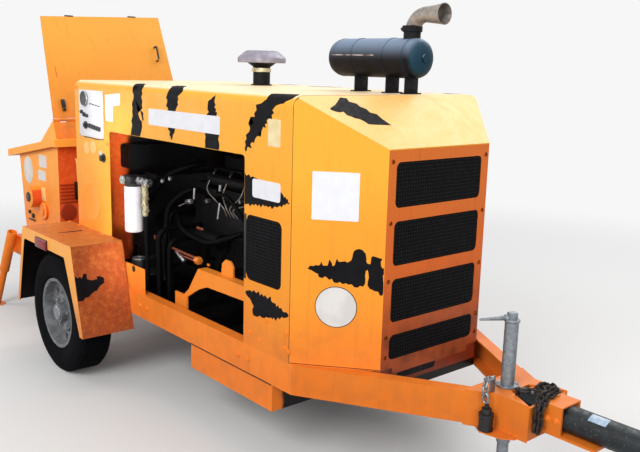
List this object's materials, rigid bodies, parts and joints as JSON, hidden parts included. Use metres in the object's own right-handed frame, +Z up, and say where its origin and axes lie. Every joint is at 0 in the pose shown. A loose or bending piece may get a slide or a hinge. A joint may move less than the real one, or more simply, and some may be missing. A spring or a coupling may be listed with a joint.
{
  "type": "trailer-mounted concrete pump",
  "caption": "Towable concrete line pump: orange enclosure with sloping nose, fenders over one axle, drawbar with eye and jack, rear hopper with raised splash guard, roof muffler.",
  "frame": {"origin": "on the ground, under the middle of the machine's box", "axes": "+X forward to the hitch eye, +Y to the machine's left, +Z up"},
  "size_m": [5, 1.82, 2.1501],
  "materials": {
    "bare_rusty_steel": "rough, rusty",
    "black_paint": "semi matt",
    "cast_iron": "oily, painted dark",
    "galvanised_steel": "dull",
    "orange_paint": "satin, chalky in places",
    "red_plastic": "gloss",
    "rubber_hose": "matt",
    "tyre": "matt",
    "white_paint": "satin"
  },
  "bodies": {
    "trailer": {"frame_rails": "orange_paint", "tongue_arms": "orange_paint", "crossmembers": "orange_paint", "floor_pan": "black_paint", "tongue_head": "orange_paint", "drawbar_tray": "orange_paint", "drawbar": "bare_rusty_steel", "hitch_eye": "bare_rusty_steel", "safety_chains": "galvanised_steel", "trailer_plug": "rubber_hose", "jack_tube": "galvanised_steel", "rear_leg_sleeves": "orange_paint", "fuel_tank": "orange_paint", "axle": "black_paint", "fenders": "orange_paint", "side_panel_right": "orange_paint", "side_panel_left": "orange_paint", "roof_panel": "orange_paint", "nose_sides": "orange_paint", "nose_top": "orange_paint", "nose_face": "orange_paint", "grille_mesh": "black_paint", "side_mesh": "black_paint", "rear_bulkhead": "orange_paint", "valve_box": "black_paint", "control_panel": "white_paint", "engine_block": "cast_iron", "engine_head": "cast_iron", "oil_pan": "cast_iron", "radiator": "black_paint", "air_cleaner": "black_paint", "muffler": "black_paint", "rain_cap": "galvanised_steel", "oil_filter": "white_paint", "hoses": "rubber_hose", "engine_mounts": "orange_paint", "hydraulic_pump": "black_paint", "hydraulic_tank": "black_paint", "drive_cylinders": "black_paint", "water_box": "orange_paint", "concrete_cylinders": "orange_paint", "hopper": "orange_paint", "hopper_grate": "orange_paint", "hopper_apron": "orange_paint", "agitator_motor": "black_paint", "outlet": "bare_rusty_steel", "lamps": "red_plastic"},
    "wheel_right": {"rim_right": "galvanised_steel", "tyre_right": "tyre"},
    "wheel_left": {"rim_left": "galvanised_steel", "tyre_left": "tyre"},
    "splash_guard": {"splash_guard": "orange_paint"},
    "agitator": {"agitator": "bare_rusty_steel"},
    "swing_valve": {"swing_valve": "bare_rusty_steel"},
    "jack_leg": {"jack_leg": "galvanised_steel"},
    "rear_leg_right": {"rear_leg_right": "orange_paint"},
    "rear_leg_left": {"rear_leg_left": "orange_paint"},
    "fan": {"fan": "black_paint"}
  },
  "joints": [
    {"name": "wheel_right_spin", "type": "hinge", "parent": "trailer", "child": "wheel_right", "pos_m": [-0.9, -0.775, 0.355], "axis": [0, 1, 0], "continuous": true},
    {"name": "wheel_left_spin", "type": "hinge", "parent": "trailer", "child": "wheel_left", "pos_m": [-0.9, 0.775, 0.355], "axis": [0, 1, 0], "continuous": true},
    {"name": "splash_guard_fold", "type": "hinge", "parent": "trailer", "child": "splash_guard", "pos_m": [-1.74061, 0, 1.421], "axis": [0, -1, 0], "range_deg": [0, 87.5]},
    {"name": "agitator_spin", "type": "hinge", "parent": "trailer", "child": "agitator", "pos_m": [-2.05, 0, 0.86], "axis": [0, 1, 0], "continuous": true},
    {"name": "swing_valve_swing", "type": "hinge", "parent": "trailer", "child": "swing_valve", "pos_m": [-2.2, 0, 0.61], "axis": [1, 0, 0], "range_deg": [0, 98.8]},
    {"name": "jack_extend", "type": "slide", "parent": "trailer", "child": "jack_leg", "axis": [0, 0, 1], "range_m": [0, 0.25]},
    {"name": "rear_leg_right_retract", "type": "slide", "parent": "trailer", "child": "rear_leg_right", "axis": [0.3494, 0.0998, 0.9317], "range_m": [0, 0.2]},
    {"name": "rear_leg_left_retract", "type": "slide", "parent": "trailer", "child": "rear_leg_left", "axis": [0.3494, -0.0998, 0.9317], "range_m": [0, 0.2]},
    {"name": "fan_spin", "type": "hinge", "parent": "trailer", "child": "fan", "pos_m": [0.62, 0, 1.03], "axis": [1, 0, 0], "continuous": true}
  ]
}
